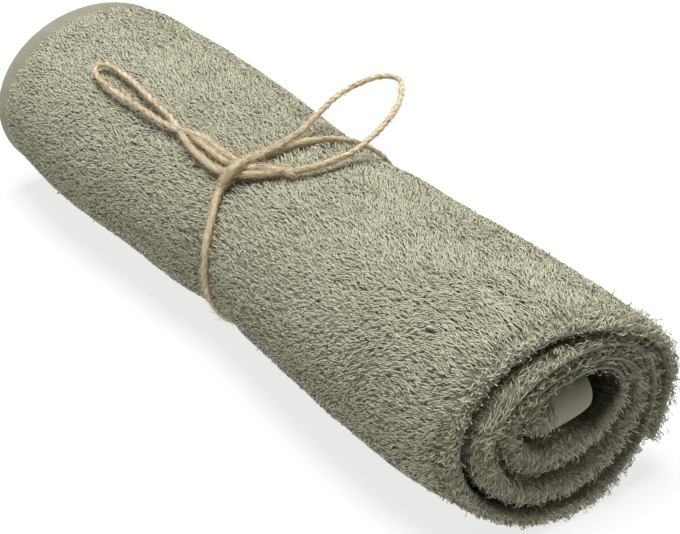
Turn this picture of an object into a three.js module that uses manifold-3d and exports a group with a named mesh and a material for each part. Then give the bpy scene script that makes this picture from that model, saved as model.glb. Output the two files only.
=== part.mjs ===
// A bath towel, doubled along its length, rolled up and tied with one length of jute twine.
// Millimetres, +Z up. The roll lies along X with its folded edge at +X, and rests on z = 0.
import * as THREE from 'three';
import { mergeVertices } from 'three/addons/utils/BufferGeometryUtils.js';
import Module from 'manifold-3d';

// The roll: its length is half the towel's width.
const ROLL_LENGTH = 371;
const TURNS = 3.92;
const STEPS_PER_TURN = 24;
const ZERO_ANGLE = -22.5;
const OUTER_END_TURN = -1 / STEPS_PER_TURN;
const FREE_SPACE = 1.1;
const CORE_SIDE = -0.05;
const CORE_UP = 0.4;
// The roll bulges more to one side, so it is moved by this to stand over the origin.
const TO_MIDDLE = 1.83;

// The twine.
const TWINE_DIAMETER = 2.5;
const TWINE_SIDES = 8;
const TWINE_LIFT = 2.2;

const TOWEL_COLOUR = 0x9c9b85;
const TWINE_COLOUR = 0xb79f7c;

// Cross-sections of the roll along X: half sizes of the oval, its shift along Y, and the height of
// its underside. The roll is drawn in where it is tied. Its ends are rounded by `full`, the share of
// the cloth's thickness that is left at an edge, and `hollow` says how far the core is open there.
const SECTIONS = [
  { x: -185.5, halfWidth: 53.2, halfHeight: 44.4, side: 1.0, bottom: 0, full: 0.4, hollow: 0.6 },
  { x: -182.5, halfWidth: 53.8, halfHeight: 44.7, side: 0.9, bottom: 0, full: 0.84, hollow: 0.6 },
  { x: -177, halfWidth: 54.6, halfHeight: 45.3, side: 0.7, bottom: 0, full: 1, hollow: 0.5 },
  { x: -150, halfWidth: 56.6, halfHeight: 46.8, side: 0, bottom: 0, full: 1, hollow: 0 },
  { x: -118, halfWidth: 57.6, halfHeight: 47.6, side: -0.8, bottom: 0, full: 1, hollow: 0 },
  { x: -84, halfWidth: 57.0, halfHeight: 47.2, side: -0.6, bottom: 0, full: 1, hollow: 0 },
  { x: -54, halfWidth: 56.0, halfHeight: 46.3, side: -0.2, bottom: 0, full: 1, hollow: 0 },
  { x: -26, halfWidth: 54.7, halfHeight: 44.9, side: 0, bottom: 0.4, full: 1, hollow: 0 },
  { x: -9, halfWidth: 53.0, halfHeight: 43.4, side: 0.1, bottom: 2.0, full: 1, hollow: 0 },
  { x: 2, halfWidth: 51.5, halfHeight: 42.0, side: 0, bottom: 4.0, full: 1, hollow: 0 },
  { x: 13, halfWidth: 53.0, halfHeight: 43.4, side: -0.2, bottom: 2.0, full: 1, hollow: 0 },
  { x: 30, halfWidth: 54.8, halfHeight: 45.0, side: -0.8, bottom: 0.3, full: 1, hollow: 0 },
  { x: 62, halfWidth: 56.2, halfHeight: 46.3, side: -2.0, bottom: 0, full: 1, hollow: 0 },
  { x: 95, halfWidth: 57.4, halfHeight: 47.4, side: -3.4, bottom: 0, full: 1, hollow: 0 },
  { x: 128, halfWidth: 57.8, halfHeight: 47.7, side: -3.6, bottom: 0, full: 1, hollow: 0 },
  { x: 155, halfWidth: 57.0, halfHeight: 46.9, side: -1.4, bottom: 0, full: 1, hollow: 0.2 },
  { x: 176, halfWidth: 55.4, halfHeight: 45.6, side: 1.2, bottom: 0, full: 1, hollow: 0.9 },
  { x: 182, halfWidth: 54.5, halfHeight: 45.0, side: 1.8, bottom: 0, full: 0.84, hollow: 1 },
  { x: 185.5, halfWidth: 54.0, halfHeight: 44.7, side: 2.0, bottom: 0, full: 0.4, hollow: 1 },
];

// The spiral, by turns inward from ZERO_ANGLE: how far out the cloth's outer face lies, as a
// share of the way from the core to the oval, and how far each end of the roll is drawn back there.
const SPIRAL = [
  { turn: -0.042, share: 1.05, nearBack: 1, farBack: 0 },
  { turn: 0, share: 1.02, nearBack: 1, farBack: 0 },
  { turn: 0.1, share: 1.01, nearBack: 0, farBack: 0 },
  { turn: 0.25, share: 1, nearBack: 1, farBack: 0 },
  { turn: 0.36, share: 1, nearBack: 7, farBack: 0 },
  { turn: 0.48, share: 1, nearBack: 12, farBack: 0 },
  { turn: 0.58, share: 1, nearBack: 10, farBack: 0 },
  { turn: 0.7, share: 1, nearBack: 5, farBack: 0 },
  { turn: 0.86, share: 1, nearBack: 0, farBack: 0 },
  { turn: 0.95, share: 0.94, nearBack: 0, farBack: 1 },
  { turn: 1.02, share: 0.885, nearBack: 1, farBack: 1 },
  { turn: 1.15, share: 0.85, nearBack: 2, farBack: 1 },
  { turn: 1.33, share: 0.71, nearBack: 3, farBack: 2 },
  { turn: 1.58, share: 0.84, nearBack: 5, farBack: 2 },
  { turn: 1.83, share: 0.85, nearBack: 2, farBack: 2 },
  { turn: 2.08, share: 0.72, nearBack: 1, farBack: 1 },
  { turn: 2.33, share: 0.47, nearBack: 3, farBack: 3 },
  { turn: 2.58, share: 0.64, nearBack: 4, farBack: 2 },
  { turn: 2.83, share: 0.6, nearBack: 3, farBack: 1 },
  { turn: 3.08, share: 0.57, nearBack: 2, farBack: 3 },
  { turn: 3.33, share: 0.25, nearBack: 4, farBack: 3 },
  { turn: 3.58, share: 0.43, nearBack: 5, farBack: 2 },
  { turn: 3.83, share: 0.33, nearBack: 4, farBack: 2 },
  { turn: 3.95, share: 0.34, nearBack: 4, farBack: 2 },
  { turn: 4.08, share: 0.4, nearBack: 4, farBack: 2 },
  { turn: 4.33, share: 0.06, nearBack: 4, farBack: 2 },
  { turn: 4.5, share: 0.13, nearBack: 4, farBack: 2 },
];

// The innermost fold: the cloth's inner face from there to its free end, from the core's centre.
const CORE_FACE = [
  { turn: 3.5, side: -8.5, up: 0.6 },
  { turn: 3.6, side: -9.5, up: -0.6 },
  { turn: 3.7, side: -7, up: -1.4 },
  { turn: 3.8, side: 0, up: -1.2 },
  { turn: 3.92, side: 13, up: -0.8 },
];

const radians = (degrees) => degrees * Math.PI / 180;

// The slope of a table's column at a row: none where it turns, so that the curve never overshoots.
function slopeAt(rows, key, k, name) {
  if (k === 0 || k === rows.length - 1) return 0;
  const down = (rows[k][name] - rows[k - 1][name]) / (rows[k][key] - rows[k - 1][key]);
  const up = (rows[k + 1][name] - rows[k][name]) / (rows[k + 1][key] - rows[k][key]);
  if (down * up <= 0) return 0;
  return Math.sign(up) * Math.min(Math.abs(down + up) / 2, 2 * Math.abs(down), 2 * Math.abs(up));
}

// The value of a column of a table at a place between its rows, on a smooth curve through them.
function column(rows, key, at, name) {
  let k = 0;
  while (k < rows.length - 2 && rows[k + 1][key] < at) k++;
  const width = rows[k + 1][key] - rows[k][key];
  const t = Math.min(1, Math.max(0, (at - rows[k][key]) / width));
  return (2 * t ** 3 - 3 * t ** 2 + 1) * rows[k][name]
    + (t ** 3 - 2 * t ** 2 + t) * slopeAt(rows, key, k, name) * width
    + (3 * t ** 2 - 2 * t ** 3) * rows[k + 1][name]
    + (t ** 3 - t ** 2) * slopeAt(rows, key, k + 1, name) * width;
}

const sectionAt = (x) => ({
  halfWidth: column(SECTIONS, 'x', x, 'halfWidth'),
  halfHeight: column(SECTIONS, 'x', x, 'halfHeight'),
  side: column(SECTIONS, 'x', x, 'side'),
  bottom: column(SECTIONS, 'x', x, 'bottom'),
});

// The oval stands on the facet between the two points nearest its underside.
const FOOT = Math.cos(radians(180 / STEPS_PER_TURN));

function oval(section, angle, outward = 0) {
  return {
    side: section.side + (section.halfWidth + outward) * Math.cos(radians(angle)),
    up: section.bottom + FOOT * section.halfHeight
      + (section.halfHeight + outward) * Math.sin(radians(angle)),
  };
}

const coreOf = (section) => ({
  side: section.side + CORE_SIDE * section.halfWidth,
  up: section.bottom + (FOOT + CORE_UP) * section.halfHeight,
});

// Turns at which the spiral is stepped, with short steps at its two ends to round them.
function turnSteps() {
  const steps = [{ turn: OUTER_END_TURN, full: 0.45 }, { turn: OUTER_END_TURN + 0.012, full: 1 }];
  for (let k = 0; k / STEPS_PER_TURN < TURNS - 0.02; k++) steps.push({ turn: k / STEPS_PER_TURN, full: 1 });
  steps.push({ turn: TURNS - 0.014, full: 1 }, { turn: TURNS, full: 0.6 });
  return steps;
}

// Away from the roll's ends the cloth beside the innermost fold bulges towards it and closes the core:
// by what share of the way to the core, round which turn, and over what part of a turn each way.
const CORE_CLOSED = { share: 0.13, turn: 3.14, within: 0.16 };

// The cloth's outer and inner face at one turn of one section.
function clothFaces(section, turn) {
  const core = coreOf(section);
  const rim = oval(section, ZERO_ANGLE + 360 * turn);
  const reach = Math.hypot(rim.side - core.side, rim.up - core.up);
  const half = FREE_SPACE / 2 / reach;
  const at = (share) => ({
    side: core.side + (rim.side - core.side) * share,
    up: core.up + (rim.up - core.up) * share,
  });
  const outer = at(column(SPIRAL, 'turn', turn, 'share') - (turn > 0.93 ? half : 0));
  const bulge = Math.max(0, 1 - ((turn - CORE_CLOSED.turn) / CORE_CLOSED.within) ** 2);
  const closed = (1 - section.hollow) * CORE_CLOSED.share * bulge;
  let inner = at(column(SPIRAL, 'turn', turn + 1, 'share') + half - closed);
  if (turn > CORE_FACE[0].turn) {
    inner = {
      side: core.side + column(CORE_FACE, 'turn', turn, 'side') * section.halfWidth / 54,
      up: core.up + column(CORE_FACE, 'turn', turn, 'up') * section.halfHeight / 45,
    };
  }
  return { outer, inner };
}

// A section is drawn back with the end of the roll that it is near.
function drawnBack(x, turn) {
  const half = ROLL_LENGTH / 2;
  const name = x > 0 ? 'nearBack' : 'farBack';
  const reach = Math.max(0, (Math.abs(x) / half - 0.7) / 0.3);
  return x - Math.sign(x) * column(SPIRAL, 'turn', turn, name) * reach * reach;
}

function towelGeometry() {
  const steps = turnSteps();
  const around = 2 * steps.length;
  const positions = [];
  for (const section of SECTIONS) {
    const outerFace = [];
    const innerFace = [];
    for (const { turn, full } of steps) {
      const { outer, inner } = clothFaces(section, turn);
      const keep = full * section.full;
      const middle = { side: (outer.side + inner.side) / 2, up: (outer.up + inner.up) / 2 };
      const x = drawnBack(section.x, turn);
      const drawn = (p) => [
        x, middle.side + (p.side - middle.side) * keep, middle.up + (p.up - middle.up) * keep];
      outerFace.push(drawn(outer));
      innerFace.push(drawn(inner));
    }
    for (const p of [...outerFace, ...innerFace.reverse()]) positions.push(...p);
  }
  const indices = [];
  for (let j = 0; j < SECTIONS.length - 1; j++) {
    for (let i = 0; i < around; i++) {
      const a = j * around + i;
      const b = j * around + (i + 1) % around;
      indices.push(a, b, a + around, b, b + around, a + around);
    }
  }
  for (const [j, turned] of [[0, true], [SECTIONS.length - 1, false]]) {
    for (let i = 0; i < steps.length - 1; i++) {
      const outerA = j * around + i;
      const outerB = outerA + 1;
      const innerA = j * around + around - 1 - i;
      const innerB = innerA - 1;
      const face = [outerA, outerB, innerB, outerA, innerB, innerA];
      indices.push(...(turned ? face.reverse() : face));
    }
  }
  const geometry = new THREE.BufferGeometry();
  geometry.setAttribute('position', new THREE.Float32BufferAttribute(positions, 3));
  geometry.setIndex(indices);
  return geometry;
}

// The band goes once round the roll: where it lies along X, by the angle round the oval, and how
// far it stands off where it crosses the towel's outer end.
const BAND = [
  { angle: -242, x: -5.5, off: 0 },
  { angle: -229, x: -5, off: 0 },
  { angle: -222, x: -3, off: 0 },
  { angle: -215, x: -0.5, off: 0 },
  { angle: -193, x: 5.2, off: 0.2 },
  { angle: -180, x: 6.8, off: 0.2 },
  { angle: -135, x: 5, off: 0.2 },
  { angle: -90, x: 2.5, off: 0 },
  { angle: -55, x: 3.8, off: 0.4 },
  { angle: -40, x: 4.3, off: 2.9 },
  { angle: -15, x: 4.8, off: 1.6 },
  { angle: 10, x: 5, off: 1.5 },
  { angle: 50, x: 3, off: 0.5 },
  { angle: 90, x: -1, off: 0 },
  { angle: 118, x: -4, off: 0 },
];

// The two loops and the two free ends, from the knot and back, and the wrap across the knot.
const LEFT_LOOP = [
  { x: -4.8, y: -29.6, z: 84.3 }, { x: -11, y: -32.8, z: 83.1 }, { x: -22.1, y: -33.3, z: 83.2 },
  { x: -34.7, y: -32.8, z: 84.9 }, { x: -54.5, y: -29.3, z: 88.6 }, { x: -76, y: -28, z: 90.6 },
  { x: -97, y: -26.5, z: 92.0 }, { x: -109, y: -26.8, z: 92.2 }, { x: -115.5, y: -28.6, z: 91.7 },
  { x: -116.6, y: -31.6, z: 90.6 }, { x: -112.5, y: -33.9, z: 89.3 }, { x: -104, y: -35, z: 88.4 },
  { x: -88, y: -35, z: 88.2 }, { x: -70.7, y: -33.9, z: 87.6 }, { x: -50.3, y: -32.0, z: 87.5 },
  { x: -32.1, y: -25.8, z: 88.2 }, { x: -19.9, y: -25.5, z: 87.8 }, { x: -6.9, y: -26.5, z: 87.3 },
];
const RIGHT_LOOP = [
  { x: -4.6, y: -26.4, z: 87.8 }, { x: -2.7, y: -21.4, z: 88.9 }, { x: -1.8, y: -14.5, z: 90.2 },
  { x: -1.9, y: -5.3, z: 91.9 }, { x: -3.5, y: 5.5, z: 93.6 }, { x: -9.5, y: 19, z: 94.6 },
  { x: -17, y: 36, z: 95.6 }, { x: -19.5, y: 50, z: 96.4 }, { x: -18.5, y: 62, z: 97 },
  { x: -12, y: 66.8, z: 97.2 }, { x: -2, y: 61.5, z: 96.9 }, { x: 10.5, y: 47.2, z: 95.9 },
  { x: 19.5, y: 30, z: 94.6 }, { x: 24.8, y: 13.8, z: 93.6 }, { x: 25.6, y: 0, z: 93.0 },
  { x: 22.5, y: -9, z: 91.7 }, { x: 19.2, y: -13.7, z: 90.4 }, { x: 13.6, y: -18.1, z: 88.9 },
  { x: 7.1, y: -23.1, z: 86.7 }, { x: 0.8, y: -27.2, z: 84.7 }, { x: -4.4, y: -29.9, z: 84.1 },
];
const LEFT_END = [
  { x: -4.6, y: -27.6, z: 85.7 }, { x: -14.6, y: -29.2, z: 85.4 }, { x: -26.3, y: -29.3, z: 85.9 },
  { x: -39.1, y: -28.7, z: 87.2 },
];
const RIGHT_END = [
  { x: -3.6, y: -28.3, z: 86.4 }, { x: 0.6, y: -23.7, z: 86.9 }, { x: 8.2, y: -18.5, z: 88.2 },
  { x: 21.2, y: -15.6, z: 89.6 },
];
const KNOT_WRAP = [
  { x: -5.4, y: -36.5, z: 78.9 }, { x: -4.7, y: -35.1, z: 81.4 }, { x: -2.8, y: -33.6, z: 85.1 },
  { x: -1.5, y: -30.7, z: 88.1 }, { x: -1.7, y: -26.8, z: 89.7 }, { x: -3.2, y: -22.6, z: 89.6 },
  { x: -4.4, y: -18.6, z: 89.0 },
];

function bandRoute() {
  const route = [];
  for (let k = 0; k <= STEPS_PER_TURN; k++) {
    const angle = -242 + 360 * k / STEPS_PER_TURN;
    const x = column(BAND, 'angle', angle, 'x');
    const lift = TWINE_LIFT + column(BAND, 'angle', angle, 'off');
    const { side, up } = oval(sectionAt(x), angle, lift);
    route.push({ x, y: side, z: up });
  }
  return route;
}

// Twine is round, so its tube is an extruded section with TWINE_SIDES sides.
function twineAlong(route, steps, diameter = TWINE_DIAMETER) {
  const section = new THREE.Shape();
  for (let k = 0; k < TWINE_SIDES; k++) {
    const angle = radians(360 * k / TWINE_SIDES);
    const u = diameter / 2 * Math.cos(angle);
    const v = diameter / 2 * Math.sin(angle);
    if (k === 0) section.moveTo(u, v);
    else section.lineTo(u, v);
  }
  const path = new THREE.CatmullRomCurve3(route.map((p) => new THREE.Vector3(p.x, p.y, p.z)));
  return new THREE.ExtrudeGeometry(section, { steps, extrudePath: path, bevelEnabled: false });
}

const wasm = await Module();
wasm.setup();

function toSolid(geometry) {
  let bare = geometry.index ? geometry.toNonIndexed() : geometry.clone();
  bare.deleteAttribute('normal');
  bare.deleteAttribute('uv');
  bare = mergeVertices(bare, 1e-4);
  return new wasm.Manifold(new wasm.Mesh({
    numProp: 3,
    vertProperties: new Float32Array(bare.attributes.position.array),
    triVerts: new Uint32Array(bare.index.array),
  }));
}

function toGeometry(solid) {
  const mesh = solid.getMesh();
  const geometry = new THREE.BufferGeometry();
  geometry.setAttribute('position', new THREE.BufferAttribute(mesh.vertProperties, 3));
  geometry.setIndex(new THREE.BufferAttribute(mesh.triVerts, 1));
  return geometry;
}

const twinePieces = [
  twineAlong(bandRoute(), 24),
  twineAlong(LEFT_LOOP, 22),
  twineAlong(RIGHT_LOOP, 22),
  twineAlong(LEFT_END, 3),
  twineAlong(RIGHT_END, 3),
  twineAlong(KNOT_WRAP, 6),
];
const twineSolid = twinePieces.map(toSolid).reduce((whole, piece) => whole.add(piece));

const group = new THREE.Group();
const towel = new THREE.Mesh(
  towelGeometry(), new THREE.MeshStandardMaterial({ color: TOWEL_COLOUR, roughness: 0.95, metalness: 0 }));
towel.name = 'towel_roll';
const twine = new THREE.Mesh(
  toGeometry(twineSolid), new THREE.MeshStandardMaterial({ color: TWINE_COLOUR, roughness: 0.9, metalness: 0 }));
twine.name = 'twine_tie';
group.add(towel, twine);
for (const mesh of group.children) mesh.position.y = TO_MIDDLE;

export default group;
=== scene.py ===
# A bath towel, doubled along its length, rolled up and tied with one length of jute twine.
# Tables and sizes are in millimetres, as in the part's source, and are turned into metres where a
# mesh is made. The roll lies along X with its folded edge at +X, and rests on z = 0.
import math

import bpy
import numpy as np
from mathutils import Matrix, Vector


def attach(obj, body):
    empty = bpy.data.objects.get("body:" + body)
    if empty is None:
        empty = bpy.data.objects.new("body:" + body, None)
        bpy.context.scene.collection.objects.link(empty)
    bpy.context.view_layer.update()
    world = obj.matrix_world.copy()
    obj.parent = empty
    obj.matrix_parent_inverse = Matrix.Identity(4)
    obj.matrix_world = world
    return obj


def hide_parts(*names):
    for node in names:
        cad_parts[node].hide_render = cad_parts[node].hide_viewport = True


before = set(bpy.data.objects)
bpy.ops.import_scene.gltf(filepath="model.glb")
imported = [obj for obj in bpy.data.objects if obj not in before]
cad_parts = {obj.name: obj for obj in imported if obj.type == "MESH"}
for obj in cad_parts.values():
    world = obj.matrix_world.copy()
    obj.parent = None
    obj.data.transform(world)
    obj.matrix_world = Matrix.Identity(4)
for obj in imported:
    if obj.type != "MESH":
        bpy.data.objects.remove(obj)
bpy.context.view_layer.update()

MM = 0.001

# The roll, as in the part's source.
ROLL_LENGTH = 371.0
NEAR_X = ROLL_LENGTH / 2
FAR_X = -NEAR_X
TURNS = 3.92
STEPS_IN_CAD = 24
ZERO_ANGLE = -22.5
OUTER_END_TURN = -1 / STEPS_IN_CAD
FREE_SPACE = 1.1
CORE_SIDE = -0.05
CORE_UP = 0.4
TO_MIDDLE = 1.83
FOOT = math.cos(math.radians(180 / STEPS_IN_CAD))
CORE_CLOSED = {"share": 0.13, "turn": 3.14, "within": 0.16}

# The distance round the outermost turn, and round a middle one.
OUTER_ROUND = 320
MIDDLE_ROUND = 205

# The towel: its cloth, its hems and its folds.
CLOTH_THICK = 1.0
HEM_THICK = 1.7
PILE_DEPTH = 2.1
HEM_DEPTH = 1.1
FAR_HEM = 9.0
OUTER_HEM_TURNS = 0.06
INNER_HEM_TURN = 3.72
FOLD_REACH = 8.0
FOLD_START = NEAR_X - PILE_DEPTH - FOLD_REACH
MIDDLE_FOLD_BACK = 6.0
FAR_EDGE = FAR_X + 1.0
FAR_ROUNDING = 4.0
FAR_FOLD_BACK = 5.0
HOLLOW_DEEPER = 22.0
CLOTH_STEPS = 60
RIB_PITCH = 0.9
# A layer below OUTERMOST is the cloth on the strip's outer face, and one above INNERMOST is the
# cloth on its inner face. From SECOND_TURN on, the strip lies under the outermost turn.
OUTERMOST = 0.02
INNERMOST = 0.98
SECOND_TURN = 1.02

# The twine.
TWINE_DIAMETER = 2.5
TWINE_SIDES = 16
TWINE_STEP = 0.7
TWINE_PITCH = 9.5
TWINE_LIFT = 2.2
BAND_STEPS = 24
CURVE_STEPS = 40
FRAYED_LENGTH = 2.0
# Fibres: how many, the shortest and the longest, how far they stand off, and how far they stray.
FIBRES = ((8200, 4.0, 10.0, 0.7, 0.2), (3200, 1.4, 4.2, 1.5, 0.5))
FIBRE_HALF_WIDTH = 0.07

# The pile: bent loops of yarn, each a narrow ribbon whose normals make it read as round. Each row
# of a bend is a share of the loop's length and a share of its height. On the folded end the loops
# spread from CORE_MIDDLE.
BODY_BEND = ((0, -0.5), (0.28, 0.9), (0.72, 1.0), (1.0, 0.25))
END_BEND = ((0, -0.2), (0.2, 0.55), (0.48, 0.95), (0.78, 1.0), (1.0, 0.7))
PULLED_BEND = ((0, 0), (0.15, 0.5), (0.35, 0.92), (0.6, 1.0), (0.85, 0.6), (1.0, 0))
TUFT_WIDTH = 3.6
ROOT_SHADE_LEVEL = 0.3
CORE_MIDDLE = (0, TO_MIDDLE - 1.5, 62.0)
# The angles of the side that the photograph shows, where the pile is finer and closer.
SEEN_FROM, SEEN_TO = 25, 240

# The lowest that points of each may lie, and the floor.
TWINE_LOWEST = 0.1
FIBRE_LOWEST = 0.2
CLOTH_LOWEST = 0.15
PILE_LOWEST = 0.12
FLOOR_LEVEL = -0.3
FLOOR_REACH = 30000.0

# Colours.
PILE_LIGHT = (0.60, 0.585, 0.45)
PILE_MID = (0.53, 0.515, 0.39)
PILE_DARK = (0.44, 0.425, 0.318)
PILE_PATCH = (0.93, 0.93, 0.9)
# Painted shade: ROOT_SHADE at the roots of the pile, and DEEPEST_SHADE for loops in the hollow and the
# grooves.
ROOT_SHADE = (0.45, 0.44, 0.41)
DEEPEST_SHADE = (0.1, 0.095, 0.09)
COTTON_SHEEN = (0.9, 0.88, 0.74)
CLOTH_COLOUR = (0.27, 0.26, 0.19)
CLOTH_PATCH = (0.84, 0.84, 0.82)
HEM_COLOUR = (0.31, 0.30, 0.225)
# Painted shade on the cloth beside the hollow at the core.
HOLLOW_SHADE = (0.3, 0.28, 0.25)
TWINE_DARK = (0.25, 0.175, 0.10)
TWINE_MID = (0.59, 0.485, 0.325)
TWINE_LIGHT = (0.83, 0.725, 0.52)
TWINE_STREAK = (0.86, 0.83, 0.78)
JUTE_SHEEN = (0.9, 0.8, 0.62)
FLOOR_COLOUR = (0.24, 0.24, 0.24)
WHITE = (1, 1, 1)

# The light, in metres and watts: a disk above the towel, a glow all round, and the floor's glow.
LIGHT_PLACE = (-0.04, -0.03, 1.5)
LIGHT_SIZE = 1.0
LIGHT_POWER = 33
WORLD_STRENGTH = 0.145
FLOOR_STRENGTH = 0.76

# The camera: its place in metres, its directions, and its lens in millimetres.
CAMERA_PLACE = (0.59333, -0.42370, 0.49638)
CAMERA_RIGHT = (0.60446, 0.79664, 0.0)
CAMERA_UP = (-0.43154, 0.32744, 0.84057)
CAMERA_BACK = (0.6696, -0.5081, 0.5417)
CAMERA_LENS = 100.3

# The roll's outline at places along X. full is the share of its thickness that the strip keeps at
# the far end, and hollow is 1 where the core is open.
SECTION_COLUMNS = ("x", "halfWidth", "halfHeight", "side", "bottom", "full", "hollow")
SECTIONS = (
    (-185.5, 53.2, 44.4, 1.0, 0, 0.4, 0.6),
    (-182.5, 53.8, 44.7, 0.9, 0, 0.84, 0.6),
    (-177, 54.6, 45.3, 0.7, 0, 1, 0.5),
    (-150, 56.6, 46.8, 0, 0, 1, 0),
    (-118, 57.6, 47.6, -0.8, 0, 1, 0),
    (-84, 57.0, 47.2, -0.6, 0, 1, 0),
    (-54, 56.0, 46.3, -0.2, 0, 1, 0),
    (-26, 54.7, 44.9, 0, 0.4, 1, 0),
    (-9, 53.0, 43.4, 0.1, 2.0, 1, 0),
    (2, 51.5, 42.0, 0, 4.0, 1, 0),
    (13, 53.0, 43.4, -0.2, 2.0, 1, 0),
    (30, 54.8, 45.0, -0.8, 0.3, 1, 0),
    (62, 56.2, 46.3, -2.0, 0, 1, 0),
    (95, 57.4, 47.4, -3.4, 0, 1, 0),
    (128, 57.8, 47.7, -3.6, 0, 1, 0),
    (155, 57.0, 46.9, -1.4, 0, 1, 0.2),
    (176, 55.4, 45.6, 1.2, 0, 1, 0.9),
    (182, 54.5, 45.0, 1.8, 0, 0.84, 1),
    (185.5, 54.0, 44.7, 2.0, 0, 0.4, 1),
)

# The spiral: how far out the strip lies, as a share of the outline, and how far each end is drawn
# back along X.
SPIRAL_COLUMNS = ("turn", "share", "nearBack", "farBack")
SPIRAL = (
    (-0.042, 1.05, 1, 0), (0, 1.02, 1, 0), (0.1, 1.01, 0, 0), (0.25, 1, 1, 0), (0.36, 1, 7, 0),
    (0.48, 1, 12, 0), (0.58, 1, 10, 0), (0.7, 1, 5, 0), (0.86, 1, 0, 0), (0.95, 0.94, 0, 1),
    (1.02, 0.885, 1, 1), (1.15, 0.85, 2, 1), (1.33, 0.71, 3, 2), (1.58, 0.84, 5, 2), (1.83, 0.85, 2, 2),
    (2.08, 0.72, 1, 1), (2.33, 0.47, 3, 3), (2.58, 0.64, 4, 2), (2.83, 0.6, 3, 1),
    (3.08, 0.57, 2, 3), (3.33, 0.25, 4, 3), (3.58, 0.43, 5, 2), (3.83, 0.33, 4, 2),
    (3.95, 0.34, 4, 2), (4.08, 0.4, 4, 2), (4.33, 0.06, 4, 2), (4.5, 0.13, 4, 2),
)

# The strip's inner face in its last turn, from the middle of the core.
CORE_FACE_COLUMNS = ("turn", "side", "up")
CORE_FACE = ((3.5, -8.5, 0.6), (3.6, -9.5, -0.6), (3.7, -7, -1.4), (3.8, 0, -1.2), (3.92, 13, -0.8))

# The twine's way round the roll: the angle in degrees, the place along X, and how far it stands off.
BAND_COLUMNS = ("angle", "x", "off")
BAND = (
    (-242, -5.5, 0), (-229, -5, 0), (-222, -3, 0), (-215, -0.5, 0), (-193, 5.2, 0.2),
    (-180, 6.8, 0.2), (-135, 5, 0.2), (-90, 2.5, 0), (-55, 3.8, 0.4), (-40, 4.3, 2.9),
    (-15, 4.8, 1.6), (10, 5, 1.5), (50, 3, 0.5), (90, -1, 0), (118, -4, 0),
)

# The twine's way through the bow.
LEFT_LOOP = (
    (-4.8, -29.6, 84.3), (-11, -32.8, 83.1), (-22.1, -33.3, 83.2), (-34.7, -32.8, 84.9),
    (-54.5, -29.3, 88.6), (-76, -28, 90.6), (-97, -26.5, 92.0), (-109, -26.8, 92.2),
    (-115.5, -28.6, 91.7), (-116.6, -31.6, 90.6), (-112.5, -33.9, 89.3), (-104, -35, 88.4),
    (-88, -35, 88.2), (-70.7, -33.9, 87.6), (-50.3, -32.0, 87.5), (-32.1, -26.6, 87.9),
    (-19.9, -26.4, 87.4), (-6.9, -26.5, 87.3),
)
RIGHT_LOOP = (
    (-4.6, -26.4, 87.8), (-2.7, -21.4, 88.9), (-1.8, -14.5, 90.2), (-1.9, -5.3, 91.9),
    (-3.5, 5.5, 93.6), (-9.5, 19, 94.6), (-17, 36, 95.6), (-19.5, 50, 96.4), (-18.5, 62, 97),
    (-12, 66.8, 97.2), (-2, 61.5, 96.9), (10.5, 47.2, 95.9), (19.5, 30, 94.6),
    (24.8, 13.8, 93.6), (25.6, 0, 93.0), (22.5, -9, 91.7), (19.2, -13.7, 90.4),
    (13.6, -18.1, 88.9), (7.1, -23.1, 86.7), (0.8, -27.2, 84.7), (-4.4, -29.9, 84.1),
)
LEFT_END = ((-4.6, -27.6, 85.7), (-14.6, -28.7, 85.7), (-26.3, -28.8, 86.2), (-39.1, -28.7, 87.2))
RIGHT_END = ((-3.6, -28.3, 86.4), (0.6, -23.7, 86.9), (8.2, -18.5, 88.2), (21.2, -15.6, 89.6))
KNOT_WRAP = (
    (-5.4, -36.5, 78.9), (-4.7, -35.1, 81.4), (-2.8, -33.6, 85.1), (-1.5, -30.7, 88.1),
    (-1.7, -26.8, 89.7), (-3.2, -22.6, 89.6), (-4.4, -18.6, 89.0),
)
# Under the wrap, where the twine turns from the wrap into the right loop.
KNOT_TUCK = (-6.5, -32.5, 83.2)
KNOT_MIDDLE = np.array(KNOT_WRAP[3])


def smooth_column(columns, rows, name):
    """A function for one column of a table: a smooth curve through its rows that never overshoots."""
    at = np.array([row[0] for row in rows], float)
    value = np.array([row[columns.index(name)] for row in rows], float)
    rise = np.diff(value) / np.diff(at)
    slope = np.zeros(len(at))
    down, up = rise[:-1], rise[1:]
    limit = np.minimum(np.abs(down + up) / 2, 2 * np.minimum(np.abs(down), np.abs(up)))
    slope[1:-1] = np.where(down * up <= 0, 0, np.sign(up) * limit)

    def read(place):
        place = np.asarray(place, float)
        k = np.clip(np.searchsorted(at, place) - 1, 0, len(at) - 2)
        width = at[k + 1] - at[k]
        t = np.clip((place - at[k]) / width, 0, 1)
        return ((2 * t**3 - 3 * t**2 + 1) * value[k] + (t**3 - 2 * t**2 + t) * slope[k] * width
                + (3 * t**2 - 2 * t**3) * value[k + 1] + (t**3 - t**2) * slope[k + 1] * width)

    return read


SECTION = {name: smooth_column(SECTION_COLUMNS, SECTIONS, name) for name in SECTION_COLUMNS[1:]}
SPIRAL_AT = {name: smooth_column(SPIRAL_COLUMNS, SPIRAL, name) for name in SPIRAL_COLUMNS[1:]}
CORE_AT = {name: smooth_column(CORE_FACE_COLUMNS, CORE_FACE, name) for name in CORE_FACE_COLUMNS[1:]}
BAND_AT = {name: smooth_column(BAND_COLUMNS, BAND, name) for name in BAND_COLUMNS[1:]}


def soft_step(value, low, high):
    """0 below low, 1 above high, and a smooth rise between."""
    t = np.clip((value - low) / (high - low), 0, 1)
    return t * t * (3 - 2 * t)


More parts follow.
